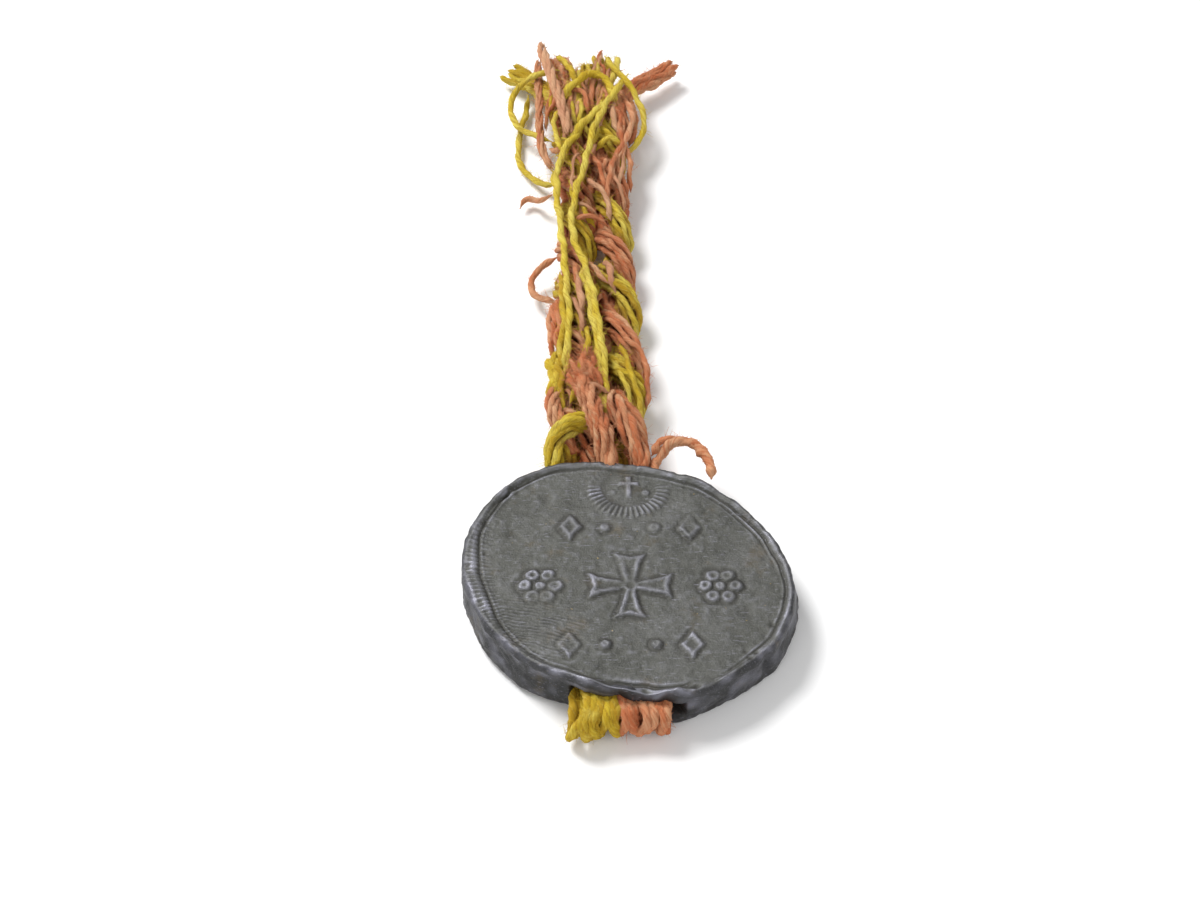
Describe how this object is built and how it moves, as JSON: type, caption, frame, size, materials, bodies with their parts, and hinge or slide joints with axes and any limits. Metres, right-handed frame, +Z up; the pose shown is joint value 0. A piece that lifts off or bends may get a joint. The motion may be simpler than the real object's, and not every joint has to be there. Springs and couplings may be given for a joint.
{
  "type": "papal bulla seal",
  "caption": "Struck lead disc seal lying flat, with the frayed remains of its plied yellow and faded red yarn cord running out of a channel in the lead.",
  "frame": {"origin": "on the surface that the seal lies on, under the middle of the lead disc", "axes": "+Z up out of the struck face, +Y along the cord away from the seal, +X to the right"},
  "size_m": [0.0386, 0.1175, 0.0076],
  "materials": {
    "lead": "dull grey lead, satin on worn edges, fine pits and scratches",
    "yellow_yarn": "matte twisted yarn, fuzzy",
    "red_yarn": "matte twisted yarn, red faded to salmon",
    "pale_red_yarn": "matte twisted yarn, almost bleached"
  },
  "bodies": {
    "seal": {"lead_seal": "lead", "red_channel_yarn_1": "red_yarn", "red_channel_yarn_2": "red_yarn", "red_channel_yarn_3": "red_yarn", "red_channel_yarn_4": "red_yarn", "red_channel_yarn_5": "red_yarn", "yellow_channel_yarn_1": "yellow_yarn", "yellow_channel_yarn_2": "yellow_yarn", "yellow_channel_yarn_3": "yellow_yarn", "yellow_channel_yarn_4": "yellow_yarn", "yellow_channel_yarn_5": "yellow_yarn", "red_tail_yarn": "red_yarn"},
    "cord_near": {"red_ply_left_near": "red_yarn", "red_ply_right_near": "red_yarn", "yellow_ply_left_near": "yellow_yarn", "yellow_ply_right_near": "yellow_yarn", "yellow_over_yarn_near": "yellow_yarn", "yellow_cross_yarn_near": "yellow_yarn", "pale_red_short_yarn": "pale_red_yarn", "red_torn_yarn": "red_yarn", "red_side_loop": "red_yarn"},
    "cord_far": {"red_ply_left_far": "red_yarn", "red_ply_right_far": "red_yarn", "yellow_ply_left_far": "yellow_yarn", "yellow_ply_right_far": "yellow_yarn", "pale_red_strand": "pale_red_yarn", "red_curl": "red_yarn", "red_frayed_end_left": "red_yarn", "red_frayed_end_right": "red_yarn", "red_strand_left": "red_yarn", "yellow_cross_yarn_far": "yellow_yarn", "yellow_frayed_end_left": "yellow_yarn", "yellow_frayed_end_right": "yellow_yarn", "yellow_loop_left_lower": "yellow_yarn", "yellow_loop_left_upper": "yellow_yarn", "yellow_loop_right": "yellow_yarn", "yellow_over_yarn_far": "yellow_yarn"}
  },
  "joints": [
    {"name": "cord_fold_at_mouth", "type": "hinge", "parent": "seal", "child": "cord_near", "pos_m": [-0.00295, 0.01984, 0.00302], "axis": [1, 0, 0], "range_deg": [0, 90]},
    {"name": "cord_fold_halfway", "type": "hinge", "parent": "cord_near", "child": "cord_far", "pos_m": [-0.00385, 0.056, 0.00302], "axis": [1, 0, 0], "range_deg": [0, 90]}
  ]
}
